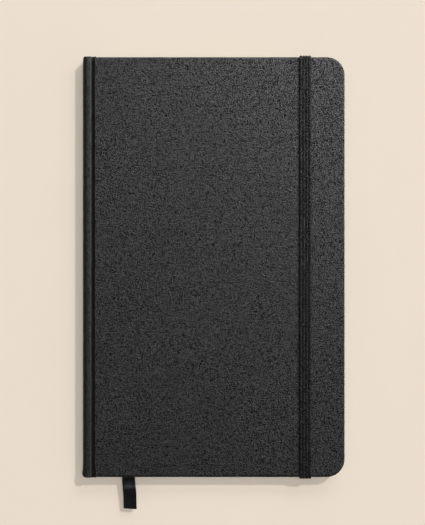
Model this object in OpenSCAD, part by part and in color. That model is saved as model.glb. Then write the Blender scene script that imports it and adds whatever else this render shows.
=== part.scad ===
// Hardcover notebook: sewn text block in a cloth case, elastic closure band and ribbon marker.
// Millimetres. The notebook lies on its back cover. +X points to the fore-edge, +Y to the head
// and +Z up through the front cover. The origin is under the middle of the covers.

/* [Case] */
// Width from the spine to the fore-edge
cover_width = 130.7; // [120:0.1:140]
// Height from head to tail
cover_height = 210; // [195:1:225]
// Thickness of the closed notebook, without the elastic band
book_thickness = 14.8; // [13:0.1:17]
// Radius of the two fore-edge corners of each cover
cover_corner = 9; // [5:0.5:12]
// Thickness of the book cloth
cloth = 0.35; // [0.25:0.05:0.5]
// Thickness of the cover boards
board = 1.9; // [1.5:0.1:2.2]
// Width of the cloth folded in over the board edges
turn_in = 14; // [10:1:18]
// Extra height of the spine cloth at head and tail
spine_extra = 0.3; // [0:0.05:0.5]

/* [Hinge groove] */
// Distance from the spine face to the middle of the groove
groove_from_spine = 4.9; // [4:0.1:6]
// Width of the groove
groove_width = 1.9; // [1.2:0.1:2.5]
// Depth of the groove
groove_depth = 1.1; // [0.5:0.1:1.4]
// Radius of the rolled spine edge
spine_roll = 1.3; // [1:0.1:1.5]

/* [Text block] */
// How far the covers stand out past the pages
square = 3; // [2:0.5:4]
// Radius of the page corners
page_corner = 7; // [4:0.5:10]
// Thickness of the pastedowns
pastedown = 0.2; // [0.15:0.05:0.3]
// Thickness of the flyleaves
flyleaf = 0.15; // [0.1:0.01:0.2]
// Thickness of one loose leaf
leaf = 0.12; // [0.1:0.01:0.15]

/* [Elastic band] */
// Width of the band
band_width = 6; // [4:0.1:8]
// Thickness of the band
band = 0.9; // [0.7:0.05:1.1]
// Middle of the band, measured from the middle of the cover
band_x = 46.1; // [30:0.1:52]
// Distance of the anchor slots from the head and tail edges
slot_inset = 10.3; // [8:0.1:14]
// Length of the glued ends under the pastedown
glued_end = 16; // [10:1:24]

/* [Ribbon marker] */
// Width of the ribbon
ribbon_width = 6; // [5:0.5:8]
// Thickness of the ribbon
ribbon = 0.25; // [0.2:0.01:0.3]

/* [Hidden] */
$fn = 96;
SIGNATURES = 12;
REAR_SIGNATURES = 8;
STITCH_ROWS = 6;
gap = 0.05; // air between pieces that move on each other
signature_gap = 0.04;
lining = 0.25; // thickness of the turned-in cloth on the inside
spine_board_t = 1.05;
groove_points = 12;
half_height = cover_height / 2;
left = -cover_width / 2;
right = cover_width / 2;
axis_x = left + spine_roll; // hinge lines of the case, at the rolled spine edges
groove_x = left + groove_from_spine;
board_x = groove_x + groove_width / 2;
cover_t = cloth + board + lining + pastedown;
fold_x = -62.2; // folded edges of the signatures
page_x = right - square - 0.3;
page_height = cover_height - 2 * square;
thread_r = 0.15;
mull = 0.25;
spine_paper = 0.2;
ribbon_gap = ribbon + 2 * gap;
stack_bottom = cover_t + gap + flyleaf + gap;
stack_top = book_thickness - stack_bottom;
leaf_pitch = leaf + 0.03;
pitch = (stack_top - stack_bottom - ribbon_gap - 2 * leaf_pitch) / SIGNATURES;
right_leaf_z = stack_bottom + REAR_SIGNATURES * pitch;
ribbon_z = right_leaf_z + leaf_pitch + gap;
left_leaf_z = right_leaf_z + leaf_pitch + ribbon_gap;
front_bottom = left_leaf_z + leaf_pitch;
band_gap = 0.02;
band_top = book_thickness + band_gap;
slot_y = half_height - slot_inset;
slot_width = 1;
headband_r = 0.8;
// Middle line of the ribbon from the head of the spine to its cut end, as [x, y, drop]
ribbon_route = [
    [-58.6, 101.6, 0], [-57.9, 90, 0], [-56.6, 75, 0], [-55.3, 60, 0], [-54, 45, 0],
    [-52.7, 30, 0], [-51.4, 15, 0], [-50.1, 0, 0], [-48.9, -15, 0], [-47.7, -30, 0],
    [-46.6, -45, 0], [-45.5, -60, 0], [-44.5, -75, 0], [-43.5, -90, 0], [-42.7, -104, 0],
    [-42.5, -107, 0.1], [-42.3, -110, 0.35], [-42.1, -113, 0.75], [-41.9, -116, 1.25],
    [-41.7, -118.5, 1.8], [-41.6, -120.5, 2.3]
];

function signature_name(k) = str("signature_", k < 10 ? "0" : "", k);

// ---- Shared shapes ----

// Flat outline from x0 to x1 with a straight spine side and round fore-edge corners
module outline(x0, x1, height, r) {
    translate([x0, -height / 2]) square([x1 - x0 - r, height]);
    translate([x0, r - height / 2]) square([x1 - x0, height - 2 * r]);
    for (side = [-1, 1])
        translate([x1 - r, side * (height / 2 - r)]) circle(r);
}

module sheet(x0, x1, height, r, z, t) {
    translate([0, 0, z]) linear_extrude(t) outline(x0, x1, height, r);
}

// A box given by its lowest and highest corners
module block(low, high) {
    translate(low) cube(high - low);
}

// What is made for the back cover, turned over onto the front cover
module on_front() {
    translate([0, 0, book_thickness]) mirror([0, 0, 1]) children();
}

// ---- Case: boards, cloth and pastedowns, made for the back cover ----

module cover_board() {
    sheet(board_x, right - cloth, cover_height - 2 * cloth, cover_corner - cloth, cloth, board);
}

module cover_cloth() {
    inner = cloth + board;
    difference() {
        sheet(board_x, right, cover_height, cover_corner, 0, inner + lining);
        cover_board();
        sheet(board_x - 1, right - turn_in, cover_height - 2 * turn_in, 1, inner - 0.1, 1);
    }
}

// The pastedown lies on the turned-in cloth and sinks onto the board inside it
module cover_pastedown() {
    inner = cloth + board;
    sheet(board_x + 0.1, page_x + 0.3, page_height + 0.6, page_corner, inner + lining, pastedown);
    sheet(board_x + 0.1, right - turn_in - 0.05, cover_height - 2 * turn_in - 0.1, 0.95,
          inner, lining + 0.05);
}

// Space of the elastic in the back cover: pressed channel outside, slot and glued bed inside
module band_seat(extra) {
    half = band_width / 2 + extra;
    for (side = [-1, 1]) scale_y(side) {
        block([band_x - half, slot_y - slot_width, -1],
              [band_x + half, half_height + 1, band + band_gap + extra]);
        block([band_x - half, slot_y - slot_width, -1],
              [band_x + half, slot_y, cloth + board + 0.01]);
        block([band_x - half, slot_y - glued_end, cloth + board - band - extra],
              [band_x + half, slot_y, cloth + board + 0.01]);
    }
}

// Mirrors to the tail side when side is -1
module scale_y(side) {
    if (side < 0) mirror([0, 1, 0]) children();
    else children();
}

module front_board() color("tan") on_front() cover_board();

module back_board() color("tan") difference() {
    cover_board();
    band_seat(0.05);
    for (side = [-1, 1]) scale_y(side)
        block([band_x - band_width / 2 - 0.05, slot_y, -1],
              [band_x + band_width / 2 + 0.05, half_height + 1, band + band_gap + cloth]);
}

module front_cover_cloth() color("dimgray") on_front() cover_cloth();

module back_cover_cloth() color("dimgray") difference() {
    union() {
        cover_cloth();
        for (side = [-1, 1]) scale_y(side)
            block([band_x - band_width / 2 - 0.05, slot_y, 0.1],
                  [band_x + band_width / 2 + 0.05, half_height - 0.1, band + band_gap + cloth]);
    }
    for (side = [-1, 1]) scale_y(side)
        block([band_x - band_width / 2 - 0.05, slot_y - slot_width, -1],
              [band_x + band_width / 2 + 0.05, half_height + 1, band + band_gap]);
}

module front_pastedown() color("ivory") on_front() cover_pastedown();

module back_pastedown() color("ivory") cover_pastedown();

// ---- Spine: board, cloth and the flexible cloth joints ----

module spine_board() color("tan")
    block([left + cloth, -half_height + cloth, spine_roll + 0.1],
          [left + cloth + spine_board_t, half_height - cloth, book_thickness - spine_roll - 0.1]);

module spine_cloth() color("dimgray") {
    reach = half_height + spine_extra;
    inner = left + cloth + spine_board_t;
    difference() {
        block([left, -reach, spine_roll + 0.05],
              [inner + lining, reach, book_thickness - spine_roll - 0.05]);
        block([left + cloth, -half_height + cloth, 0], [inner, half_height - cloth, 20]);
        block([inner - 0.01, -half_height + turn_in, 0], [inner + 5, half_height - turn_in, 20]);
    }
}

// Height of the joint's outer face above the back plane: rolled edge, flat bead, cosine groove
function joint_drop(x) =
    x < axis_x ? spine_roll - sqrt(max(0, pow(spine_roll, 2) - pow(axis_x - x, 2))) :
    abs(x - groove_x) < groove_width / 2 ?
        groove_depth * (1 + cos(360 * (x - groove_x) / groove_width)) / 2 : 0;

function roll_points(r, steps) =
    [for (i = [0:steps]) let (a = 90 * i / steps) [axis_x - r * cos(a), spine_roll - r * sin(a)]];

function groove_line(lift) =
    [for (i = [0:groove_points]) let (x = groove_x + groove_width * (i / groove_points - 0.5))
        [x, joint_drop(x) + lift]];

module joint_cloth() {
    reach = half_height + spine_extra;
    outer = concat(roll_points(spine_roll, 8), groove_line(0));
    inner = concat(roll_points(spine_roll - cloth, 8), groove_line(cloth));
    count = len(inner);
    rotate([90, 0, 0]) translate([0, 0, -reach]) linear_extrude(2 * reach)
        polygon(concat(outer, [for (i = [1:count]) inner[count - i]]));
}

module front_joint_cloth() color("dimgray") on_front() joint_cloth();

module back_joint_cloth() color("dimgray") joint_cloth();

// ---- Text block ----

module page_sheet(z, t) {
    sheet(fold_x, page_x, page_height, page_corner, z, t);
}

// One folded section of the text block, with its round folded edge
module signature(k) color("cornsilk") {
    t = pitch - signature_gap;
    z = (k <= REAR_SIGNATURES ? stack_bottom : front_bottom - REAR_SIGNATURES * pitch)
        + (k - 1) * pitch;
    sheet(fold_x + t / 2, page_x, page_height, page_corner, z, t);
    intersection() {
        translate([fold_x + t / 2, page_height / 2, z + t / 2])
            rotate([90, 0, 0]) cylinder(h = page_height, d = t, $fn = 32);
        block([fold_x - 1, -cover_height, 0], [fold_x + t / 2, cover_height, book_thickness]);
    }
}

module front_flyleaf() color("ivory") page_sheet(book_thickness - cover_t - gap - flyleaf, flyleaf);

module back_flyleaf() color("ivory") page_sheet(cover_t + gap, flyleaf);

module left_leaf() color("cornsilk") page_sheet(left_leaf_z, leaf);

module right_leaf() color("cornsilk") page_sheet(right_leaf_z, leaf);

// Rows of sewing thread across the folds
module sewing_threads() color("white")
    for (row = [0:STITCH_ROWS - 1])
        translate([fold_x - thread_r, page_height * (0.42 - 0.84 * row / (STITCH_ROWS - 1)),
                   stack_bottom])
            cylinder(h = stack_top - stack_bottom, r = thread_r, $fn = 16);

module spine_mull() color("gainsboro")
    block([fold_x - 2 * thread_r - mull, -page_height / 2 + 8, stack_bottom],
          [fold_x - 2 * thread_r, page_height / 2 - 8, stack_top]);

module spine_paper_lining() color("burlywood") {
    x = fold_x - 2 * thread_r - mull;
    block([x - spine_paper, -page_height / 2 + 2, stack_bottom],
          [x, page_height / 2 - 2, stack_top]);
}

module headband(side) {
    translate([fold_x + headband_r / 2, side * (page_height / 2 + headband_r), stack_bottom])
        cylinder(h = stack_top - stack_bottom, r = headband_r, $fn = 32);
}

module head_headband() color("black") headband(1);

module tail_headband() color("black") headband(-1);

// ---- Ribbon marker ----

// The four corners of the ribbon's flat section at point i of its route
function ribbon_ring(i) =
    let (p = ribbon_route[i], a = ribbon_route[max(i - 1, 0)],
         b = ribbon_route[min(i + 1, len(ribbon_route) - 1)],
         along = [b[0] - a[0], b[1] - a[1]] / norm([b[0] - a[0], b[1] - a[1]]),
         across = [-along[1], along[0], 0] * ribbon_width / 2,
         middle = [p[0], p[1], ribbon_z - p[2]], up = [0, 0, ribbon])
    [middle - across, middle + across, middle + across + up, middle - across + up];

module ribbon_marker() color("black") {
    last = len(ribbon_route) - 1;
    sides = [for (i = [0:last - 1], j = [0:3])
        [4 * i + j, 4 * i + (j + 1) % 4, 4 * i + 4 + (j + 1) % 4, 4 * i + 4 + j]];
    polyhedron([for (i = [0:last]) each ribbon_ring(i)],
               concat([[3, 2, 1, 0]], sides, [[for (j = [0:3]) 4 * last + j]]));
}

// The end of the ribbon that is glued to the spine at the head
module ribbon_anchor() color("black") {
    x = fold_x - 2 * thread_r - mull - spine_paper;
    z = (stack_bottom + stack_top) / 2;
    block([x - ribbon, page_height / 2 - 28, z - ribbon_width / 2],
          [x, page_height / 2 - 0.5, z + ribbon_width / 2]);
}

// ---- Elastic band ----

module elastic_front_run() color("black")
    block([band_x - band_width / 2, -half_height, band_top],
          [band_x + band_width / 2, half_height, band_top + band]);

// The band's turn round the cover edges, with rounded corners
module band_wrap(side) {
    outer = half_height + band_gap + band;
    top = band_top + band;
    x = band_x - band_width / 2;
    scale_y(side) difference() {
        block([x, half_height + band_gap, 0], [x + band_width, outer, top]);
        for (z = [0, top]) difference() {
            block([x - 1, outer - band / 2, z - band / 2], [x + band_width + 1, outer + 1, z + band / 2]);
            translate([x - 2, outer - band / 2, z + (z > 0 ? -1 : 1) * band / 2])
                rotate([0, 90, 0]) cylinder(h = band_width + 4, d = band, $fn = 32);
        }
    }
}

module elastic_head_wrap() color("black") band_wrap(1);

module elastic_tail_wrap() color("black") band_wrap(-1);

// The ends of the band: along the pressed channel, through the slot and glued on the inside
module elastic_back_ends() color("black") {
    x = band_x - band_width / 2;
    inside = cloth + board;
    for (side = [-1, 1]) scale_y(side) {
        block([x, slot_y - slot_width + 0.05, 0], [x + band_width, half_height, band]);
        block([x, slot_y - slot_width + 0.05, 0], [x + band_width, slot_y - 0.05, inside]);
        block([x, slot_y - glued_end + 0.1, inside - band], [x + band_width, slot_y - 0.05, inside]);
    }
}

// ---- Nodes ----

front_board();
back_board();
spine_board();
front_cover_cloth();
back_cover_cloth();
spine_cloth();
front_joint_cloth();
back_joint_cloth();
front_pastedown();
back_pastedown();
front_flyleaf();
back_flyleaf();
left_leaf();
right_leaf();
sewing_threads();
spine_mull();
spine_paper_lining();
head_headband();
tail_headband();
ribbon_anchor();
ribbon_marker();
elastic_front_run();
elastic_head_wrap();
elastic_tail_wrap();
elastic_back_ends();
for (k = [1:SIGNATURES])
    signature(k);
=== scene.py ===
"""Hardcover notebook: book cloth case, sewn text block, elastic closure band and satin ribbon marker.

Everything is in metres, in the frame of the CAD model: +X runs from the spine to the fore-edge, +Y from tail
to head and +Z up through the front cover. The sizes below come from the CAD nodes' boxes where they can.
"""
import math

import bpy
import numpy as np
from mathutils import Matrix, Vector


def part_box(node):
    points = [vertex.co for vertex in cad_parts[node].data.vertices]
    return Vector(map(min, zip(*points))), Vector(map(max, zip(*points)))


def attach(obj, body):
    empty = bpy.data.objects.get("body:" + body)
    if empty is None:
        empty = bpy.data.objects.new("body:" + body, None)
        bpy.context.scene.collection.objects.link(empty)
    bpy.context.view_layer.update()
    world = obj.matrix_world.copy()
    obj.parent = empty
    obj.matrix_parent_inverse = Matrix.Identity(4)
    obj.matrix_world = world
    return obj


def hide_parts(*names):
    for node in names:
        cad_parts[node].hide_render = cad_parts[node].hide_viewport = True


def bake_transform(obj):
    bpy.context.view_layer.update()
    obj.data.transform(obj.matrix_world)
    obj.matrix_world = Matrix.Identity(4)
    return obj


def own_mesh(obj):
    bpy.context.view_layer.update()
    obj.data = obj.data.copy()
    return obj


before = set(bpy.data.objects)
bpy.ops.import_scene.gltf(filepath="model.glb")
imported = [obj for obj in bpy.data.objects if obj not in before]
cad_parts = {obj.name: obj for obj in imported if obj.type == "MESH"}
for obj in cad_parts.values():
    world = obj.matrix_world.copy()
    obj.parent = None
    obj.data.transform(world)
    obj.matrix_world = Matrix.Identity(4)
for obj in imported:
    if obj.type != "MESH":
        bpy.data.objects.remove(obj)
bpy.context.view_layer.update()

MM = 0.001


def box(node):
    """Lowest and highest corner of a CAD node, in millimetres."""
    low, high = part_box(node)
    return np.array(low) / MM, np.array(high) / MM


# ---- Sizes, in millimetres ----

BACK_LOW, BACK_HIGH = box("back_cover_cloth")
FRONT_LOW, FRONT_HIGH = box("front_cover_cloth")
BOARD_X = FRONT_LOW[0]
RIGHT = FRONT_HIGH[0]
HALF = FRONT_HIGH[1]
TOP = FRONT_HIGH[2]
CASE_T = BACK_HIGH[2] - BACK_LOW[2]
CORNER = 9.0
SPINE_LOW, SPINE_HIGH = box("spine_cloth")
LEFT = SPINE_LOW[0]
REACH = SPINE_HIGH[1]
GROOVE_X = LEFT + 5.0
PAGE_LOW, PAGE_HIGH = box("signature_01")
FOLD_X = PAGE_LOW[0]
PAGE_X = PAGE_HIGH[0]
PAGE_HALF = PAGE_HIGH[1]
PAGE_CORNER = 7.0
BAND_LOW, BAND_HIGH = box("elastic_front_run")
BAND_X = (BAND_LOW[0] + BAND_HIGH[0]) / 2
BAND_SHIFT = 0.42
BAND_W = BAND_HIGH[0] - BAND_LOW[0]
BAND_T = BAND_HIGH[2] - BAND_LOW[2]
SLOT_Y = HALF - 10.3
RIBBON_W = 6.0
RIBBON_T = 0.25
RIBBON_Z = box("ribbon_marker")[1][2] - RIBBON_T


# ---- Meshes from arrays ----

def make_object(name, points, faces, material, smooth=True):
    """A mesh object at the origin from points in millimetres."""
    mesh = bpy.data.meshes.new(name)
    mesh.from_pydata((np.asarray(points, float) * MM).tolist(), [], [list(map(int, f)) for f in faces])
    mesh.polygons.foreach_set("use_smooth", [smooth] * len(mesh.polygons))
    mesh.materials.append(material)
    mesh.update()
    obj = bpy.data.objects.new(name, mesh)
    bpy.context.scene.collection.objects.link(obj)
    return obj


def grid_faces(rows, columns, closed=False):
    """Quads of a grid whose points are numbered row by row. In a closed grid the last column joins the first."""
    i, j = np.meshgrid(np.arange(rows - 1), np.arange(columns if closed else columns - 1), indexing="ij")
    beside = (j + 1) % columns
    corners = [i * columns + j, i * columns + beside, (i + 1) * columns + beside, (i + 1) * columns + j]
    return np.stack(corners, -1).reshape(-1, 4).tolist()


# ---- Materials ----

def colour(hex_value):
    """sRGB hex to a linear RGBA colour."""
    parts = [int(hex_value[i:i + 2], 16) / 255 for i in (0, 2, 4)]
    return [c / 12.92 if c <= 0.04045 else ((c + 0.055) / 1.055) ** 2.4 for c in parts] + [1.0]


def add(nodes, kind, settings=None, links=None, out=0):
    """Adds one node with its properties and socket values, links its named inputs and gives one of its outputs."""
    node = nodes.new("ShaderNode" + kind)
    for key, value in (settings or {}).items():
        if isinstance(key, str) and hasattr(node, key):
            setattr(node, key, value)
        else:
            node.inputs[key].default_value = value
    for key, source in (links or {}).items():
        nodes.id_data.links.new(source, node.inputs[key])
    return node.outputs[out]


def new_material(name, finish):
    """A new material with its nodes and its shader. What is the same all over sits on the shader's own sockets."""
    material = bpy.data.materials.new(name)
    material.use_nodes = True
    nodes = material.node_tree.nodes
    shader = nodes["Principled BSDF"]
    for socket, value in finish.items():
        shader.inputs[socket].default_value = value
    return material, nodes, shader


def colour_and_relief(nodes, shader, value, dark, light, relief=()):
    """The colour runs from dark to light as the value goes from 0 to 1, and the relief comes in layers.

    A layer is a height from 0 to 1 and its depth in metres. Each one bends the normal that the one before it gives.
    """
    shade = add(nodes, "Mix", {"data_type": "RGBA", 6: colour(dark), 7: colour(light)}, {0: value}, out=2)
    nodes.id_data.links.new(shade, shader.inputs["Base Color"])
    normal = {}
    for height, depth in relief:
        normal = {"Normal": add(nodes, "Bump", {"Distance": depth}, {"Height": height, **normal})}
    for socket, source in normal.items():
        nodes.id_data.links.new(source, shader.inputs[socket])


def place(nodes, stretch=(1, 1, 1), turn=0):
    """Object coordinates, turned about z by so many degrees and then scaled, so that a pattern's cells stretch."""
    return add(nodes, "Mapping", {"vector_type": "TEXTURE", "Rotation": (0, 0, math.radians(turn)),
                                  "Scale": tuple(1 / s for s in stretch)},
               {"Vector": add(nodes, "TexCoord", out="Object")})


def threads(nodes, axes, pitch, wander=0.0):
    """Rows of threads: sine ridges from -1 to 1, pitch metres apart, across the sum of the given axes.

    They wander by a share of the pitch, over cells about 6 mm long.
    """
    where = place(nodes)
    across = add(nodes, "SeparateXYZ", links={0: where}, out=axes[0])
    for axis in axes[1:]:
        more = add(nodes, "SeparateXYZ", links={0: where}, out=axis)
        across = add(nodes, "Math", {"operation": "ADD"}, {0: across, 1: more})
    if wander:
        drift = add(nodes, "TexNoise", {"Scale": 160.0, "Detail": 1.0}, {"Vector": where})
        across = add(nodes, "Math", {"operation": "MULTIPLY_ADD", 1: wander * pitch}, {0: drift, 2: across})
    phase = add(nodes, "Math", {"operation": "MULTIPLY", 1: 2 * math.pi / pitch}, {0: across})
    return add(nodes, "Math", {"operation": "SINE"}, {0: phase})


# Noise scales are in cells a metre. This one puts the front cover's outer face, 14.8 mm up, halfway between two
# lattice planes of the noise, because its contrast fades on them.
CROSSINGS = 2330.0


def book_cloth():
    """Plain-woven cotton book cloth, dyed charcoal and sized: matt, with a fine peppery grain.

    Each crossing of two threads catches the light by itself: it is a bump, and it is also painted lighter in the
    colour as a painted highlight. Real threads lie about 0.3 mm apart, which is too fine to show on a whole notebook,
    so the crossing points are 0.43 mm apart and the threads a little over 0.5 mm. Slubs, the thicker stretches of a
    thread, and the slant of the size brushed into the cloth show faintly.
    """
    material, nodes, shader = new_material("book_cloth", {
        "Roughness": 0.6, "IOR": 1.47, "Specular IOR Level": 0.08, "Sheen Weight": 0.01, "Sheen Roughness": 0.5})
    # Painted highlight: each crossing of threads is a bump and is also painted lighter in the colour.
    points = add(nodes, "TexNoise", {"Scale": CROSSINGS, "Detail": 1.5}, {"Vector": place(nodes)})
    bumped_and_painted_crossings = add(nodes, "MapRange", {"From Min": 0.3, "From Max": 0.7}, {"Value": points})
    over_under = add(nodes, "Math", {"operation": "MULTIPLY"}, {0: threads(nodes, "XZ", 0.52 * MM, 1.0),
                                                                1: threads(nodes, "YZ", 0.55 * MM, 1.0)})
    weave = add(nodes, "MapRange", {"From Min": -1, "From Max": 1}, {"Value": over_under})
    weft_slubs, warp_slubs = (add(nodes, "TexNoise", {"Scale": 1900.0, "Detail": 1.0},
                                  {"Vector": place(nodes, stretch)}) for stretch in ((1, 0.22, 1), (0.22, 1, 1)))
    all_slubs = add(nodes, "Math", {"operation": "ADD"}, {0: weft_slubs, 1: warp_slubs})
    slubs = add(nodes, "MapRange", {"From Min": 0.7, "From Max": 1.3}, {"Value": all_slubs})
    size_marks = add(nodes, "TexNoise", {"Scale": 420.0, "Detail": 3.0},
                     {"Vector": place(nodes, (0.22, 1, 1), turn=24)})
    brushed = add(nodes, "MapRange", {"From Min": 0.3, "From Max": 0.7}, {"Value": size_marks})
    slubbed_weave = add(nodes, "Math", {"operation": "MULTIPLY"}, {0: weave, 1: slubs})
    # The colour adds the crossings' painted highlights to the tone of the slubbed weave.
    grain_and_painted_highlights = add(nodes, "Math", {"operation": "ADD"}, {0: bumped_and_painted_crossings, 1: slubbed_weave})
    shade = add(nodes, "MapRange", {"From Min": 0.4, "From Max": 1.1}, {"Value": grain_and_painted_highlights})
    colour_and_relief(nodes, shader, shade, "000000", "272727",
                      [(brushed, 0.00004), (slubs, 0.00005), (weave, 0.00012), (bumped_and_painted_crossings, 0.00034)])
    return material


def elastic_webbing():
    """Woven elastic of black polyester over rubber cores: satin ribs with fine cross threads.

    The ribs are in the mesh, 1.5 mm apart. The cross threads lie 0.55 mm apart and the glints of their fibres
    0.8 mm apart, both drawn at least twice as coarse as real ones so that they show. The glints are bumps
    and also painted highlights, lighter spots in the colour.
    """
    material, nodes, shader = new_material("elastic_webbing", {
        "Roughness": 0.55, "IOR": 1.5, "Specular IOR Level": 0.12, "Sheen Weight": 0.02, "Sheen Roughness": 0.4})
    cross = add(nodes, "MapRange", {"From Min": -1, "From Max": 1}, {"Value": threads(nodes, "YZ", 0.55 * MM, 0.3)})
    # Painted highlight: the fibre glints bump the surface and are also painted as lighter spots in the colour.
    glints = add(nodes, "TexNoise", {"Scale": 1250.0, "Detail": 2.0}, {"Vector": place(nodes)})
    fibre = add(nodes, "MapRange", {"From Min": 0.35, "From Max": 0.65}, {"Value": glints})
    # The colour is the cross threads' tone plus the painted glints.
    yarn = add(nodes, "Math", {"operation": "ADD"}, {0: cross, 1: fibre})
    shade = add(nodes, "MapRange", {"From Min": 0.5, "From Max": 1.7}, {"Value": yarn})
    colour_and_relief(nodes, shader, shade, "000000", "191919", [(cross, 0.00015), (fibre, 0.0006)])
    return material


def ribbon_satin():
    """Polyester satin ribbon, black: long floats run down its length and give a soft gloss across it."""
    material, nodes, shader = new_material("ribbon_satin", {
        "Roughness": 0.36, "IOR": 1.5, "Specular IOR Level": 0.2, "Anisotropic": 0.5,
        "Sheen Weight": 0.03, "Sheen Roughness": 0.3})
    floats = add(nodes, "TexNoise", {"Scale": 3600.0, "Detail": 1.0}, {"Vector": place(nodes, (1, 0.05, 1))})
    cross = add(nodes, "MapRange", {"From Min": -1, "From Max": 1}, {"Value": threads(nodes, "Y", 0.4 * MM, 0.2)})
    colour_and_relief(nodes, shader, floats, "020202", "09090A", [(floats, 0.000015), (cross, 0.000006)])
    return material


def paper(name, dark, light, roughness):
    """Uncoated paper: matt, with faint cloudy formation 3 mm across and felt-side tooth."""
    material, nodes, shader = new_material(name, {"Roughness": roughness, "IOR": 1.45})
    clouds = add(nodes, "TexNoise", {"Scale": 330.0, "Detail": 4.0}, {"Vector": place(nodes)})
    formation = add(nodes, "MapRange", {"From Min": 0.3, "From Max": 0.7}, {"Value": clouds})
    tooth = add(nodes, "TexNoise", {"Scale": 3800.0, "Detail": 2.0}, {"Vector": place(nodes)})
    colour_and_relief(nodes, shader, formation, dark, light, [(tooth, 0.000012)])
    return material


def grey_board():
    """Pressed grey board of recycled paper, with dark and light flecks under 1 mm across."""
    material, nodes, shader = new_material("grey_board", {"Roughness": 0.85, "IOR": 1.45})
    fine = add(nodes, "TexNoise", {"Scale": 1400.0, "Detail": 3.0}, {"Vector": place(nodes)})
    broad = add(nodes, "TexNoise", {"Scale": 420.0, "Detail": 2.0}, {"Vector": place(nodes)})
    flecks = add(nodes, "Math", {"operation": "MULTIPLY"}, {0: fine, 1: broad})
    shade = add(nodes, "MapRange", {"From Min": 0.12, "From Max": 0.4}, {"Value": flecks})
    colour_and_relief(nodes, shader, shade, "6E675C", "A49B8B", [(flecks, 0.00006)])
    return material


def kraft_paper():
    """Machine-glazed kraft paper: brown, with fine ribs 1 mm apart from its making."""
    material, nodes, shader = new_material("kraft_paper", {"Roughness": 0.7, "IOR": 1.45})
    ribs = add(nodes, "MapRange", {"From Min": -1, "From Max": 1}, {"Value": threads(nodes, "Z", 1.0 * MM, 0.2)})
    fibre = add(nodes, "TexNoise", {"Scale": 1500.0, "Detail": 3.0}, {"Vector": place(nodes, (1, 0.3, 1))})
    shade = add(nodes, "Math", {"operation": "MULTIPLY"}, {0: ribs, 1: fibre})
    colour_and_relief(nodes, shader, shade, "8A6A45", "A88457", [(ribs, 0.00003), (fibre, 0.00004)])
    return material


def gauze():
    """Starched open gauze, called mull: cream threads 0.9 mm apart over the glued folds."""
    material, nodes, shader = new_material("gauze", {"Roughness": 0.8, "IOR": 1.47, "Sheen Weight": 0.1})
    lattice = add(nodes, "Math", {"operation": "MAXIMUM"}, {0: threads(nodes, "Y", 0.9 * MM, 0.2),
                                                            1: threads(nodes, "Z", 0.9 * MM, 0.2)})
    yarn = add(nodes, "MapRange", {"From Min": 0.2, "From Max": 1.0}, {"Value": lattice})
    colour_and_relief(nodes, shader, yarn, "A2977F", "E4DCC8", [(yarn, 0.00015)])
    return material


def striped_cotton():
    """Headband tape: mercerised cotton woven over a cord in black and grey stripes 1 mm wide."""
    material, nodes, shader = new_material("striped_cotton", {"Roughness": 0.5, "IOR": 1.5, "Sheen Weight": 0.2})
    stripes = add(nodes, "MapRange", {"From Min": -0.15, "From Max": 0.15},
                  {"Value": threads(nodes, "Z", 2.0 * MM)})
    fibre = add(nodes, "TexNoise", {"Scale": 4000.0, "Detail": 2.0}, {"Vector": place(nodes, (1, 1, 0.3))})
    colour_and_relief(nodes, shader, stripes, "121213", "8B8B88", [(fibre, 0.00005)])
    return material


def linen_thread():
    """Waxed linen sewing thread: off-white two-ply twist."""
    material, nodes, shader = new_material("linen_thread", {"Roughness": 0.5, "IOR": 1.5})
    twist = add(nodes, "MapRange", {"From Min": -1, "From Max": 1}, {"Value": threads(nodes, "YZ", 0.5 * MM)})
    colour_and_relief(nodes, shader, twist, "B9B09A", "EFE9DA", [(twist, 0.00005)])
    return material


CLOTH_LOOK = book_cloth()
ELASTIC_LOOK = elastic_webbing()
RIBBON_LOOK = ribbon_satin()
PAGE_LOOK = paper("page_paper", "EDE5D3", "F1EADA", 0.82)
ENDPAPER_LOOK = paper("endpaper", "E7DECA", "ECE3D1", 0.75)
BOARD_LOOK = grey_board()
KRAFT_LOOK = kraft_paper()
GAUZE_LOOK = gauze()
HEADBAND_LOOK = striped_cotton()
THREAD_LOOK = linen_thread()


# ---- Camera and light ----

LENS = 135.0
SENSOR = 36.0
VIEW_HEIGHT = 262.3
VIEW_CENTRE = (-0.71, 2.29)


def set_camera():
    """A long lens straight above the front cover. Its height gives VIEW_HEIGHT at the cover's own height."""
    data = bpy.data.cameras.new("camera")
    data.lens = LENS
    data.sensor_width = SENSOR
    data.clip_end = 10.0
    camera = bpy.data.objects.new("camera", data)
    height = TOP + VIEW_HEIGHT * LENS / SENSOR
    camera.location = Vector((VIEW_CENTRE[0], VIEW_CENTRE[1], height)) * MM
    bpy.context.scene.collection.objects.link(camera)
    bpy.context.scene.camera = camera


def add_light(name, kind, power, place_mm, target_mm, tone, size=None, angle=None):
    """One lamp aimed from a place at a target. A panel has a size in millimetres and a sun an angle in degrees."""
    data = bpy.data.lights.new(name, kind)
    data.energy = power
    data.color = colour(tone)[:3]
    if size is not None:
        data.shape = "RECTANGLE"
        data.size, data.size_y = size[0] * MM, size[1] * MM
    if angle is not None:
        data.angle = math.radians(angle)
    light = bpy.data.objects.new(name, data)
    light.location = Vector(place_mm) * MM
    light.rotation_euler = (Vector(target_mm) - Vector(place_mm)).to_track_quat("-Z", "Y").to_euler()
    bpy.context.scene.collection.objects.link(light)
    return light


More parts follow.
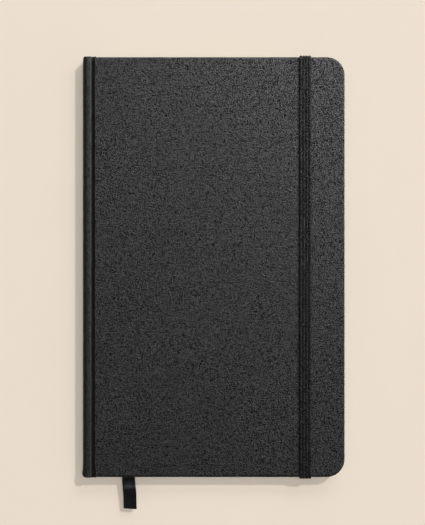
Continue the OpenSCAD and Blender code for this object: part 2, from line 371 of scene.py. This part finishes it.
def set_light():
    """Soft daylight from the upper right: a sun, a broad fill from overhead, a panel and a plain sky.

    The sun moves a shadow by 0.39 of a height towards the spine and by 0.4 of it towards the tail.
    """
    add_light("window_sun", "SUN", 1.0, (390, 400, 1000), (0, 0, 0), "FFFBF6", angle=2.5)
    add_light("ceiling_fill", "SUN", 1.4, (60, 60, 1000), (0, 0, 0), "FFFFFF", angle=12.0)
    add_light("window_panel", "AREA", 1.8, (330, 620, 900), (0, 0, 0), "FFFFFF", size=(500, 300))
    world = bpy.data.worlds.new("sky")
    world.use_nodes = True
    sky = world.node_tree.nodes["Background"]
    sky.inputs["Color"].default_value = colour("FFFFFF")
    sky.inputs["Strength"].default_value = 0.2
    bpy.context.scene.world = world
    bpy.context.scene.view_settings.view_transform = "Standard"


def light_cloth(pieces):
    """Two low panels, beyond the head and the fore-edge, that light the dark pieces only.

    The cloth fades from the head towards the tail and the spine as their distance grows.
    """
    lit = bpy.data.collections.new("dark_pieces")
    for piece in pieces:
        lit.objects.link(piece)
    for name, power, spot, target in (("head_panel", 11.5, (185, 330, 172), (20, 40, 10)),
                                      ("edge_panel", 3.0, (300, 190, 170), (60, 50, 10))):
        lamp = add_light(name, "AREA", power, spot, target, "FFFFFF", size=(250, 100))
        lamp.light_linking.receiver_collection = lit
        lamp.visible_glossy = False


def lay_floor():
    """A plain warm table top under the notebook."""
    material, nodes, shader = new_material("pale_table", {"Roughness": 0.85})
    clouds = add(nodes, "TexNoise", {"Scale": 30.0, "Detail": 2.0}, {"Vector": place(nodes)})
    shade = add(nodes, "MapRange", {"From Min": 0.3, "From Max": 0.7}, {"Value": clouds})
    colour_and_relief(nodes, shader, shade, "E7DBCC", "E8DCCD")
    reach = 3000.0
    corners = [(-reach, -reach, 0), (reach, -reach, 0), (reach, reach, 0), (-reach, reach, 0)]
    make_object("table_top", corners, [(0, 1, 2, 3)], material, smooth=False)


set_camera()
set_light()
lay_floor()


# ---- Shared shapes ----

SHARP = 40
RIB_SHARP = 75


def shell(name, upper, lower, material, sharp=SHARP):
    """A closed sheet between two grids of points with the same rows and columns, its edges joined by strips.

    The faces are turned outwards by the sign of the volume they enclose.
    """
    upper, lower = np.asarray(upper, float), np.asarray(lower, float)
    rows, columns = upper.shape[:2]
    count = rows * columns
    points = np.concatenate([upper.reshape(-1, 3), lower.reshape(-1, 3)])
    top = np.array(grid_faces(rows, columns))
    index = np.arange(count).reshape(rows, columns)
    rim = np.concatenate([index[0, :], index[1:, -1], index[-1, -2::-1], index[-2:0:-1, 0]])
    after = np.roll(rim, -1)
    faces = np.concatenate([top, top[:, ::-1] + count, np.stack([after, rim, rim + count, after + count], -1)])
    if volume(points, faces) < 0:
        faces = faces[:, ::-1]
    return crisp(make_object(name, points, faces, material), sharp)


def tube(name, sections, material):
    """A closed solid from rows of section points: each row is one closed loop, and the end rows get flat caps."""
    sections = np.asarray(sections, float)
    rows, columns = sections.shape[:2]
    faces = grid_faces(rows, columns, closed=True)
    points = sections.reshape(-1, 3)
    flip = volume(points, np.array(faces)) < 0
    faces += [list(range(columns))[::-1], list(range((rows - 1) * columns, rows * columns))]
    if flip:
        faces = [face[::-1] for face in faces]
    return crisp(make_object(name, points, faces, material), SHARP)


def volume(points, faces):
    """Signed volume inside quads: the sum of the tetrahedra from them to the middle, positive where they face out."""
    centred = points - points.mean(0)
    a, b, c, d = (centred[faces[:, i]] for i in range(4))
    return float((np.cross(a, b) * c).sum() + (np.cross(a, c) * d).sum()) / 6


def crisp(obj, degrees):
    """Edges sharper than the angle stay crisp under smooth shading."""
    obj.data.set_sharp_from_angle(angle=math.radians(degrees))
    return obj


def ease(x):
    """Smooth step from 0 to 1: three squares less two cubes."""
    x = np.clip(x, 0, 1)
    return x * x * (3 - 2 * x)


def upside(points):
    """Turns what is made for the back cover over onto the front cover, as the front's height less each z."""
    points = np.array(points, float)
    points[..., 2] = TOP - points[..., 2]
    return points


def place_piece(obj, body, slot, *nodes):
    """Rides a finished piece on a body and hides the CAD nodes it stands for. The slot argument is not used."""
    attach(obj, body)
    if nodes:
        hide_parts(*nodes)
    return obj


# ---- Ribbon marker ----

# Middle line of the ribbon from the head of the spine to its cut end, as x, y and drop
RIBBON_ROUTE = np.array([
    (-58.6, 101.6, 0), (-57.9, 90, 0), (-56.6, 75, 0), (-55.3, 60, 0), (-54, 45, 0), (-52.7, 30, 0),
    (-51.4, 15, 0), (-50.1, 0, 0), (-48.9, -15, 0), (-47.7, -30, 0), (-46.6, -45, 0), (-45.5, -60, 0),
    (-44.5, -75, 0), (-43.5, -90, 0), (-43.1, -103.5, 0), (-42.95, -105.5, 0.25), (-42.85, -107.5, 0.7),
    (-42.75, -109.5, 0.95), (-42.65, -111.5, 1.05), (-42.5, -113.5, 1.4), (-42.35, -116.5, 2), (-42.1, -121.9, 2.9)])
RIBBON_CUT = 0.35
RIBBON_SPREAD = 0.085
RIBBON_CUP = 0.28
RIBBON_WAVER = 0.12


def smooth_route(route, steps):
    """Points on a Catmull-Rom curve through a route, the same number of steps between each two points."""
    p = np.concatenate([[2 * route[0] - route[1]], route, [2 * route[-1] - route[-2]]])
    t = (np.arange(steps) / steps)[None, :, None]
    a, b, c, d = (p[i:len(p) - 3 + i, None, :] for i in range(4))
    curve = 0.5 * (2 * b + (c - a) * t + (2 * a - 5 * b + 4 * c - d) * t ** 2 + (3 * b - a - 3 * c + d) * t ** 3)
    return np.concatenate([curve.reshape(-1, 3), route[-1:]])


def make_ribbon():
    """A flat strip carried along the route, with thicker selvedges and a slanted cut.

    Past the pages it spreads a little, cups across with the square of the distance from its middle, and wavers with
    the sine of its length. Its cut slants because each point of the last 7 mm moves along by its place across.
    """
    middle = smooth_route(RIBBON_ROUTE, 6)
    middle[:, 2] = RIBBON_Z + RIBBON_T / 2 - middle[:, 2]
    along = np.gradient(middle, axis=0)
    along /= np.linalg.norm(along, axis=1)[:, None]
    across = np.stack([-along[:, 1], along[:, 0], np.zeros(len(along))], 1)
    width = 1 + RIBBON_SPREAD * ease((-100 - middle[:, 1]) / 6)
    across *= width[:, None] / np.linalg.norm(across, axis=1)[:, None]
    u = np.linspace(-1, 1, 17)
    length = np.concatenate([[0], np.cumsum(np.linalg.norm(np.diff(middle, axis=0), axis=1))])
    free = ease((-103 - middle[:, 1]) / 8)[:, None]
    slant = RIBBON_CUT * ease((length - length[-1] + 7) / 7)[:, None] * u[None, :]
    grid = middle[:, None, :] + across[:, None, :] * (u * RIBBON_W / 2)[None, :, None]
    grid += along[:, None, :] * slant[:, :, None]
    grid[:, :, 2] -= RIBBON_CUP * free * (u ** 2)[None, :]
    grid[:, :, 0] += RIBBON_WAVER * free * np.sin(length / 2.6)[:, None]
    thick = RIBBON_T * (0.36 + 0.14 * np.exp(-((np.abs(u) - 0.93) / 0.06) ** 2))[None, :]
    lift = np.zeros_like(grid)
    lift[:, :, 2] = thick
    obj = shell("ribbon_strip", grid + lift, grid - lift, RIBBON_LOOK)
    place_piece(obj, "right_page", "ribbon_satin", "ribbon_marker")


make_ribbon()


# ---- Case: the two covers ----

OUTER_ROUND = 1.15
INNER_ROUND = 0.45
PLEAT = 0.11


def cover_outline(inset):
    """Closed outline of a cover, in order head, fore-edge, tail, spine side.

    The spine side stays square: only rings on the flat faces, past the rounded edge, are drawn in from it.
    """
    y = HALF - inset
    x = RIGHT - inset
    left = BOARD_X + max(inset - OUTER_ROUND, 0) / 2
    r = max(CORNER - inset, 0.05)
    turn = np.linspace(0, math.pi / 2, 21)
    bend = np.stack([x - r + r * np.sin(turn), y - r + r * np.cos(turn)], 1)
    head = np.stack([np.linspace(left, x - r, 41)[:-1], np.full(40, y)], 1)
    fore = np.stack([np.full(49, x), np.linspace(y - r, r - y, 51)[1:-1]], 1)
    half = np.concatenate([head, bend])
    tail = half[::-1] * (1, -1)
    side = np.stack([np.full(49, left), np.linspace(-y, y, 51)[1:-1]], 1)
    return np.concatenate([half, fore, tail, side])


def cover_slab():
    """The cloth-covered board as one closed solid, made for the back cover with its outer face at z = 0.

    Rings of the outline are stacked along a profile: outer face, rounded edge, side, rounded inner edge and
    inner face. On the inner face the turned-in cloth gathers into small pleats round the two corners, as the sine
    of 14 times the angle.
    """
    a = np.linspace(0, math.pi / 2, 7)
    profile = [(12, 0), (4, 0), (1.6, 0)]
    profile += [(OUTER_ROUND * (1 - math.sin(t)), OUTER_ROUND * (1 - math.cos(t))) for t in a]
    profile += [(0, CASE_T / 2)]
    profile += [(INNER_ROUND * (1 - math.cos(t)), CASE_T - INNER_ROUND * (1 - math.sin(t))) for t in a]
    profile += [(1.2, CASE_T), (2.1, CASE_T), (3.0, CASE_T), (8, CASE_T)]
    rings = []
    for inset, z in profile:
        outline = cover_outline(inset)
        corner = np.hypot(np.maximum(outline[:, 0] - RIGHT + CORNER, 0),
                          np.maximum(np.abs(outline[:, 1]) - HALF + CORNER, 0))
        angle = np.arctan2(np.abs(outline[:, 1]) - HALF + CORNER, outline[:, 0] - RIGHT + CORNER)
        round_part = (outline[:, 0] > RIGHT - CORNER) & (np.abs(outline[:, 1]) > HALF - CORNER) & (corner > 0)
        pleat = PLEAT * np.sin(angle * 14) * round_part * (z == CASE_T) * ease(1 - abs(inset - 1.4) / 1.3)
        rings.append(np.column_stack([outline, z + pleat]))
    return np.array(rings)


def cut_channels(obj):
    """Presses the two channels for the elastic's ends into the back cover, each ending at its slot."""
    for side in (-1, 1):
        bpy.ops.mesh.primitive_cube_add(size=1)
        cutter = bpy.context.object
        cutter.data.transform(channel_matrix(SLOT_Y - 1, HALF + 2, side, BAND_T + 0.04))
        modifier = obj.modifiers.new("channel", "BOOLEAN")
        modifier.object = cutter
        modifier.operation = "DIFFERENCE"
        modifier.solver = "EXACT"
        bpy.context.view_layer.objects.active = obj
        bpy.ops.object.modifier_apply(modifier=modifier.name)
        bpy.data.objects.remove(cutter)


def channel_matrix(y0, y1, side, depth):
    """Scales and moves a unit cube onto the space of one channel, open below and at the cover's edge."""
    size = Vector((BAND_W + 0.3, y1 - y0, 2 * depth)) * MM
    middle = Vector((BAND_X, side * (y0 + y1) / 2, 0)) * MM
    scale = Matrix.Diagonal((*size, 1))
    return Matrix.Translation(middle) @ scale


def make_covers():
    """The back cover with its two channels, and the front cover as the same slab turned over."""
    rings = cover_slab()
    back = tube("back_cover_case", rings, CLOTH_LOOK)
    cut_channels(back)
    crisp(back, SHARP)
    place_piece(back, "back_cover", "book_cloth", "back_cover_cloth")
    front = tube("front_cover_case", upside(rings), CLOTH_LOOK)
    place_piece(front, "front_cover", "book_cloth", "front_cover_cloth")


make_covers()


# ---- Case: spine and joints ----

FOLDED_CLOTH = 0.62
GROOVE_DEPTH = 2.05
ROLL_DEPTH = 2.9
EDGE = LEFT - 0.2
CREST = LEFT + 3.3
GROOVE_FLOOR = GROOVE_X - 0.2
HEAD_NIP = 0.7
TAIL_NIP = 1.6
TAIL_FLARE = 0.45


def spine_rows():
    """Heights along the spine, closer together at the rounded folds at head and tail."""
    end = REACH - FOLDED_CLOTH / 2 * (1 - np.cos(np.linspace(0, math.pi / 2, 7)))[::-1]
    middle = np.linspace(-REACH + 1, REACH - 1, 90)
    return np.concatenate([-end[::-1], middle, end])


def nipped(points):
    """Rounds the spine's two corners and flares its edge at the tail.

    Near the spine edge each end is drawn back by the sagitta of the corner's radius. The last 8 mm at the tail
    swing outwards with the square of the distance.
    """
    points = np.array(points, float)
    x, y = points[..., 0], points[..., 1]
    radius = np.where(y > 0, HEAD_NIP, TAIL_NIP)
    inward = np.clip(1 - (x - LEFT) / radius, 0, 1)
    back = radius * (1 - np.sqrt(1 - inward ** 2))
    near_end = ease((np.abs(y) - REACH + 6) / 6)
    outward = TAIL_FLARE * np.clip((-y - HALF + 8) / 8, 0, 1) ** 2 * np.clip(1 - (x - LEFT) / 3, 0, 1)
    points[..., 1] = y - np.sign(y) * back * near_end
    points[..., 0] = x - outward
    return points


def joint_line():
    """Outer line of a joint from the cover board to the spine: groove wall, groove, bead and rolled edge.

    The roll is a quarter circle and the groove's left wall a cosine. Its right wall drops from the board's edge
    with the fifth power of the distance.
    """
    wall = np.linspace(1, 0, 9)
    right_x = GROOVE_FLOOR + (BOARD_X - GROOVE_FLOOR) * wall
    right_z = GROOVE_DEPTH * (1 - wall ** 5)
    fall = np.linspace(0, 1, 12)[1:]
    left_x = GROOVE_FLOOR - (GROOVE_FLOOR - CREST) * fall
    left_z = GROOVE_DEPTH * (1 + np.cos(math.pi * fall)) / 2
    turn = np.linspace(0, math.pi / 2, 15)[1:]
    roll_x = EDGE + ROLL_DEPTH * (1 - np.sin(turn))
    roll_z = ROLL_DEPTH * (1 - np.cos(turn))
    bead_x = np.linspace(CREST, EDGE + ROLL_DEPTH, 5)[1:]
    return np.concatenate([np.stack([right_x, right_z], 1), np.stack([left_x, left_z], 1),
                           np.stack([bead_x, np.zeros(4)], 1), np.stack([roll_x, roll_z], 1)])


def offset_line(line, amount):
    """A line moved along its own normals, to the inner side of the cloth."""
    along = np.gradient(line, axis=0)
    along /= np.linalg.norm(along, axis=1)[:, None]
    return line + amount * np.stack([along[:, 1], -along[:, 0]], 1)


def past_fold(rows):
    """How far each row is into the round fold at head or tail: 0 before it and 1 at its outer edge."""
    return np.clip((np.abs(rows) - REACH + FOLDED_CLOTH / 2) / (FOLDED_CLOTH / 2), 0, 1)


def joint_sheet():
    """Outer and inner face of a joint cloth as grids of rows along the spine, closed in a round fold at the ends."""
    line = joint_line()
    rows = spine_rows()
    thickness = np.maximum(FOLDED_CLOTH * np.sqrt(1 - past_fold(rows) ** 2), 0.02)
    grids = []
    for face in (0, 1):
        amount = FOLDED_CLOTH / 2 + (face - 0.5) * thickness
        lines = np.stack([offset_line(line, a) for a in amount])
        y = np.repeat(rows[:, None], len(line), 1)
        grids.append(nipped(np.stack([lines[..., 0], y, lines[..., 1]], -1)))
    return grids


def make_spine():
    """The two joints, each running from the spine to its cover, and the flat cloth of the spine between them.

    The spine's two faces draw together towards head and tail as the circle of the fold does.
    """
    outer, inner = joint_sheet()
    back = shell("back_joint", outer, inner, CLOTH_LOOK)
    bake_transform(back)
    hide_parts("back_joint_cloth")
    front = shell("front_joint", upside(outer), upside(inner), CLOTH_LOOK)
    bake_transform(front)
    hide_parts("front_joint_cloth")
    rows = spine_rows()
    z = np.linspace(ROLL_DEPTH - 0.05, TOP - ROLL_DEPTH + 0.05, 12)
    pull = (0.5 - 0.5 * np.sqrt(1 - past_fold(rows) ** 2))[:, None] * np.ones(len(z))
    y = np.repeat(rows[:, None], len(z), 1)
    depth = SPINE_HIGH[0] - LEFT
    faces = []
    for x, sign in ((EDGE, 1), (EDGE + depth, -1)):
        faces.append(nipped(np.stack([x + sign * pull * 0.9, y, np.repeat(z[None, :], len(rows), 0)], -1)))
    panel = shell("spine_case", faces[0], faces[1], CLOTH_LOOK)
    place_piece(panel, "spine", "book_cloth", "spine_cloth")


make_spine()


# ---- Elastic band ----

RIBS = 4
WRAP_OUT = {1: 0.75, -1: 0.85}
WRAP_BEND = 0.75
BAND_EDGE_Y = HALF - 0.7


def rib_height(u):
    """Height across the band, from 0 to 1, at u from 0 to 1: four ribs, each a sine to the power 0.55.

    The height falls off at the two selvedges with the root of the distance.
    """
    rib = np.abs(np.sin(math.pi * RIBS * u)) ** 0.55
    edge = 0.15 + 0.85 * np.clip(np.minimum(u, 1 - u) / 0.035, 0, 1) ** 0.5
    return (0.3 + 0.7 * rib) * edge


def band_sheet(path, outward, thickness, shift=0.0):
    """The band carried along a path in the YZ plane: ribs on its outer face, and a flatter inner face.

    At each path point the two faces stand off by the thickness times the rib height along the outward normal,
    and the band lies off its middle line towards the spine by the shift.
    """
    u = np.linspace(0, 1, 49)
    height = rib_height(u)[None, :, None]
    x = BAND_X + BAND_W * (u - 0.5)
    base = np.zeros((len(path), len(u), 3))
    base[:, :, 0] = x[None, :] - np.broadcast_to(shift, len(path))[:, None]
    base[:, :, 1:] = path[:, None, :]
    normal = np.zeros((len(path), 1, 3))
    normal[:, 0, 1:] = outward
    thick = np.broadcast_to(np.asarray(thickness, float).reshape(-1, 1, 1), (len(path), 1, 1))
    return base + normal * thick * (0.14 + 0.86 * height), base + normal * thick * 0.14 * (1 - height)


def make_front_run():
    """The straight run over the front cover. It wavers by a twentieth of a millimetre, with the sine of its length."""
    y = np.linspace(-BAND_EDGE_Y, BAND_EDGE_Y, 141)
    path = np.stack([y, np.full(len(y), BAND_LOW[2])], 1)
    outer, inner = band_sheet(path, (0, 1), BAND_T, BAND_SHIFT)
    for face in (outer, inner):
        face[:, :, 0] += 0.05 * np.sin(y / 23.0)[:, None] * (1 - (y / HALF) ** 2)[:, None]
    run = shell("elastic_run", outer, inner, ELASTIC_LOOK, RIB_SHARP)
    place_piece(run, "elastic_band", "elastic_webbing", "elastic_front_run")


def wrap_path(side):
    """The band's way round a cover edge, with its outward normals and thickness.

    It bends down over the front edge, runs across the pages' height and bends in under the back cover, each
    bend a quarter circle. It is stretched thinner over the edges.
    """
    turn = np.linspace(0, math.pi / 2, 9)
    edge = HALF + 0.03
    y = np.concatenate([[BAND_EDGE_Y], edge - WRAP_BEND * (1 - np.sin(turn)), np.full(7, edge),
                        edge - WRAP_BEND * (1 - np.cos(turn)), [BAND_EDGE_Y]])
    low = BAND_T
    z = np.concatenate([[BAND_LOW[2]], BAND_LOW[2] - WRAP_BEND * (1 - np.cos(turn)),
                        np.linspace(BAND_LOW[2] - WRAP_BEND, low + WRAP_BEND, 9)[1:-1],
                        low + WRAP_BEND * (1 - np.sin(turn)), [low]])
    ny = np.concatenate([[0], np.sin(turn), np.ones(7), np.cos(turn), [0]])
    nz = np.concatenate([[1], np.cos(turn), np.zeros(7), -np.sin(turn), [-1]])
    thick = WRAP_OUT[side] + (BAND_T - WRAP_OUT[side]) * np.maximum(nz, -nz) ** 2
    return np.stack([side * y, z], 1), np.stack([side * ny, nz], 1), thick


def make_wraps():
    """The band's turns over head and tail. Each goes from the front run's line to the channel's with smooth steps."""
    for side, where in ((1, "head"), (-1, "tail")):
        path, outward, thick = wrap_path(side)
        outer, inner = band_sheet(path, outward, thick, BAND_SHIFT * ease((path[:, 1] - 1) / (TOP - 2)))
        wrap = shell("elastic_wrap_" + where, outer, inner, ELASTIC_LOOK, RIB_SHARP)
        place_piece(wrap, "back_cover", "elastic_webbing", "elastic_" + where + "_wrap")
        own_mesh(wrap)


def make_back_ends():
    """The two ends in their pressed channels, each from the cover's edge to its slot and down into it.

    The bend into the slot is a quarter circle.
    """
    turn = np.linspace(0, math.pi / 2, 7)
    stop, bend = HALF - 10.6, 0.6
    y = np.concatenate([[BAND_EDGE_Y, HALF - 4], stop + bend * (1 - np.sin(turn)), [stop]])
    z = np.concatenate([[BAND_T, BAND_T], BAND_T + bend * (1 - np.cos(turn)), [BAND_T + 0.9]])
    ny = np.concatenate([[0, 0], -np.sin(turn), [-1]])
    nz = np.concatenate([[-1, -1], -np.cos(turn), [0]])
    for side, where in ((1, "head"), (-1, "tail")):
        outer, inner = band_sheet(np.stack([side * y, z], 1), np.stack([side * ny, nz], 1), BAND_T - 0.05)
        end = shell("elastic_end_" + where, outer, inner, ELASTIC_LOOK, RIB_SHARP)
        place_piece(end, "back_cover", "elastic_webbing", "elastic_back_ends")


make_front_run()
make_wraps()
make_back_ends()


# ---- Text block and endpapers ----

SHEETS = 4
LEAF_T = 0.072
BEND_TO = FOLD_X + 4.2


def page_reach(x, right, half=PAGE_HALF):
    """Half height of a leaf at x: full up to the corner, then the corner's quarter circle."""
    inside = np.clip(x - (right - PAGE_CORNER), 0, PAGE_CORNER)
    return half - PAGE_CORNER + np.sqrt(np.maximum(PAGE_CORNER ** 2 - inside ** 2, 0))


def leaf_stations(right):
    """Places along a leaf: close together where it bends at the fold and round the corner."""
    turn = np.linspace(0, math.pi / 2, 13)
    corner = right - PAGE_CORNER * (1 - np.sin(turn))
    corner[-1] -= 0.002
    near = np.linspace(FOLD_X + 0.9, BEND_TO + 1, 22)
    return np.concatenate([near, np.linspace(BEND_TO + 3, corner[0] - 3, 8), corner])


def folded_sheets(name, low, high, seed):
    """One section: four sheets folded into each other and joined as one object of four closed shells.

    Each sheet's middle line runs in from the fore-edge, round a half circle at the fold and out again. Sheets
    inside the fold stand a little further out at the fore-edge, as they do in a real section.
    """
    draw = np.random.default_rng(seed)
    pitch = (high - low) / (2 * SHEETS)
    middle = (low + high) / 2
    v = np.linspace(-1, 1, 9)
    grids = []
    for k in range(SHEETS):
        radius = pitch * (k + 0.5)
        right = PAGE_X - 0.03 * k + draw.uniform(-0.05, 0.05)
        x = leaf_stations(right)
        turn = np.linspace(0, math.pi, 9)
        fold = FOLD_X + (high - low) / 2
        line_x = np.concatenate([x[::-1], fold - radius * np.sin(turn), x])
        line_z = np.concatenate([np.full(len(x), middle - radius), middle - radius * np.cos(turn),
                                 np.full(len(x), middle + radius)])
        half = page_reach(line_x, right=right) + draw.uniform(-0.04, 0.04)
        line = np.stack([line_x, line_z], 1)
        faces = []
        for sign in (-1, 1):
            moved = offset_line(line, sign * LEAF_T / 2)
            grid = np.zeros((len(line), len(v), 3))
            grid[..., 0] = moved[:, 0][:, None]
            grid[..., 1] = half[:, None] * v[None, :]
            grid[..., 2] = moved[:, 1][:, None]
            faces.append(grid)
        grids.append(faces)
    objects = [shell(name + "_" + str(i), f[0], f[1], PAGE_LOOK) for i, f in enumerate(grids)]
    return join(objects, name)


def join(objects, name):
    """Makes one object of several."""
    with bpy.context.temp_override(active_object=objects[0], selected_editable_objects=objects):
        bpy.ops.object.join()
    objects[0].name = name
    objects[0].data.name = name
    return objects[0]


def bend_or_ride(obj, body, slot, node):
    """Leaves of the back cover's body ride on it. The others get their transform applied and their CAD nodes hidden.
    """
    if body == "back_cover":
        return place_piece(obj, body, slot, node)
    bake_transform(obj)
    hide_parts(node)
    return obj


def make_sections():
    """The twelve sections between their CAD heights. The first lies under the others and stays with the back cover."""
    for number in range(1, 13):
        node = "signature_%02d" % number
        low, high = box(node)
        body = "back_cover" if number == 1 else "section_%02d" % number
        piece = folded_sheets("section_%02d_sheets" % number, low[2], high[2], number)
        bend_or_ride(piece, body, "page_paper", node)


def leaf_faces(low, high, seed, curl):
    """The two faces of a single leaf. Its fore-edge corners lift by the curl, with the square of the distance."""
    draw = np.random.default_rng(seed)
    right = PAGE_X + draw.uniform(-0.05, 0.05)
    x = np.concatenate([[FOLD_X + 0.02, FOLD_X + 0.4], leaf_stations(right)])
    v = np.linspace(-1, 1, 41)
    half = page_reach(x, right=right)
    faces = []
    for z in (low, high):
        grid = np.zeros((len(x), len(v), 3))
        grid[..., 0] = x[:, None]
        grid[..., 1] = half[:, None] * v[None, :]
        out = np.clip((x - 20) / (PAGE_X - 20), 0, 1)[:, None]
        grid[..., 2] = z + curl * out ** 2 * (v ** 4)[None, :]
        faces.append(grid)
    return faces


def make_leaves():
    """The two leaves at the ribbon and the two flyleaves, each between its CAD heights."""
    for node, body, slot, look, curl in (
            ("left_leaf", "left_page", "page_paper", PAGE_LOOK, -0.06),
            ("right_leaf", "right_page", "page_paper", PAGE_LOOK, 0.06),
            ("front_flyleaf", "front_endpaper", "endpaper", ENDPAPER_LOOK, 0.0),
            ("back_flyleaf", "back_cover", "endpaper", ENDPAPER_LOOK, 0.0)):
        low, high = box(node)
        faces = leaf_faces(low[2], high[2], len(node), curl)
        bend_or_ride(shell(node + "_sheet", faces[0], faces[1], look), body, slot, node)


TURN_IN = 14.0
PASTE_RIGHT = PAGE_X + 0.3
PASTE_HALF = PAGE_HALF + 0.3
GLUED_END = 16.6


def pastedown_faces(with_band):
    """The pastedown over the turned-in cloth, made for the back cover.

    Its top sinks by 0.16 mm where the distance to the cover's edge passes the width of the turn-in. Over the
    elastic's glued ends it rises by 0.12 mm.
    """
    x = np.concatenate([np.linspace(BOARD_X + 0.1, PASTE_RIGHT - PAGE_CORNER - 1, 90),
                        leaf_stations(PASTE_RIGHT)[-13:]])
    v = np.linspace(-1, 1, 161)
    y = page_reach(x, right=PASTE_RIGHT, half=PASTE_HALF)[:, None] * v[None, :]
    grid_x = np.repeat(x[:, None], len(v), 1)
    inward = np.minimum(RIGHT - grid_x, HALF - np.abs(y))
    top = CASE_T + 0.2 - 0.16 * ease((inward - TURN_IN + 0.8) / 1.6)
    if with_band:
        across = ease((BAND_W / 2 + 0.9 - np.abs(grid_x - BAND_X)) / 0.9)
        along = ease((SLOT_Y + 0.6 - np.abs(y)) / 0.9) * ease((np.abs(y) - SLOT_Y + GLUED_END) / 0.9)
        top = top + 0.12 * across * along
    upper = np.stack([grid_x, y, top], -1)
    lower = np.stack([grid_x, y, np.full_like(top, CASE_T - 0.1)], -1)
    return upper, lower


def make_pastedowns():
    """The back cover's pastedown over the elastic's ends, and the front cover's turned over from the same shape."""
    upper, lower = pastedown_faces(with_band=True)
    back = shell("back_endpaper_sheet", upper, lower, ENDPAPER_LOOK)
    place_piece(back, "back_cover", "endpaper", "back_pastedown")
    upper, lower = pastedown_faces(with_band=False)
    front = shell("front_endpaper_sheet", upside(upper), upside(lower), ENDPAPER_LOOK)
    place_piece(front, "front_cover", "endpaper", "front_pastedown")


make_sections()
make_leaves()
make_pastedowns()


# ---- Spine lining, headbands and boards ----

def make_headbands():
    """The two headbands: a roll of tape over a cord, with a ridge for each thread, over the folds' ends.

    The roll is an oval whose radius ripples with the sine of its height.
    """
    for side, where in ((1, "head"), (-1, "tail")):
        low, high = box(where + "_headband")
        centre_x = (low[0] + high[0]) / 2 - 0.05
        centre_y = side * (PAGE_HALF + 0.75)
        z = np.linspace(low[2], high[2], 90)
        turn = np.linspace(0, 2 * math.pi, 25)[:-1]
        radius = 0.72 + 0.05 * np.abs(np.sin(math.pi * (z - low[2]) / 0.5))
        ring = np.zeros((len(z), len(turn), 3))
        ring[..., 0] = centre_x + radius[:, None] * np.cos(turn)[None, :] * 0.95
        ring[..., 1] = centre_y + radius[:, None] * np.sin(turn)[None, :]
        ring[..., 2] = z[:, None]
        band = tube(where + "_band_roll", ring, HEADBAND_LOOK)
        place_piece(band, "back_cover", "headband_cloth", where + "_headband")


def make_ribbon_turn():
    """The ribbon's turn from the glued end behind the spine, over the headband, to its place between the pages.

    A Hermite surface: one edge stands upright behind the lining, and the other lies flat on the leaf.
    """
    low, high = box("ribbon_anchor")
    t = np.linspace(0, 1, 9)[None, :, None]
    start_low = np.array([low[0] + 0.1, high[1] - 0.3, low[2]])
    start_high = np.array([low[0] + 0.1, high[1] - 0.3, high[2]])
    first = RIBBON_ROUTE[0]
    end_z = RIBBON_Z + RIBBON_T / 2
    end_low = np.array([first[0] - RIBBON_W / 2, first[1] + 0.1, end_z])
    end_high = np.array([first[0] + RIBBON_W / 2, first[1] + 0.3, end_z])
    start = start_low + (start_high - start_low) * t
    end = end_low + (end_high - end_low) * t
    s = np.linspace(0, 1, 17)[:, None, None]
    h00, h10 = 2 * s ** 3 - 3 * s ** 2 + 1, s ** 3 - 2 * s ** 2 + s
    h01, h11 = -2 * s ** 3 + 3 * s ** 2, s ** 3 - s ** 2
    surface = h00 * start + h10 * np.array([0.0, 9.0, 0.0]) + h01 * end + h11 * np.array([1.0, -9.0, -1.0])
    normal = np.cross(np.gradient(surface, axis=0), np.gradient(surface, axis=1))
    normal /= np.linalg.norm(normal, axis=2)[..., None]
    turn = shell("ribbon_turn", surface + normal * 0.09, surface - normal * 0.09, RIBBON_LOOK)
    place_piece(turn, "back_cover", "ribbon_satin")


def finish_cad_nodes():
    """Gives the CAD nodes that stay in sight their own materials."""
    looks = {"front_board": BOARD_LOOK, "back_board": BOARD_LOOK, "spine_board": BOARD_LOOK,
             "spine_mull": GAUZE_LOOK, "spine_paper_lining": KRAFT_LOOK, "sewing_threads": THREAD_LOOK,
             "ribbon_anchor": RIBBON_LOOK}
    for node, look in looks.items():
        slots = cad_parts[node].data.materials
        slots.clear()
        slots.append(look)


make_headbands()
make_ribbon_turn()
finish_cad_nodes()
light_cloth([piece for piece in bpy.data.objects
             if piece.type == "MESH" and piece.data.materials
             and piece.data.materials[0] in (CLOTH_LOOK, ELASTIC_LOOK)])
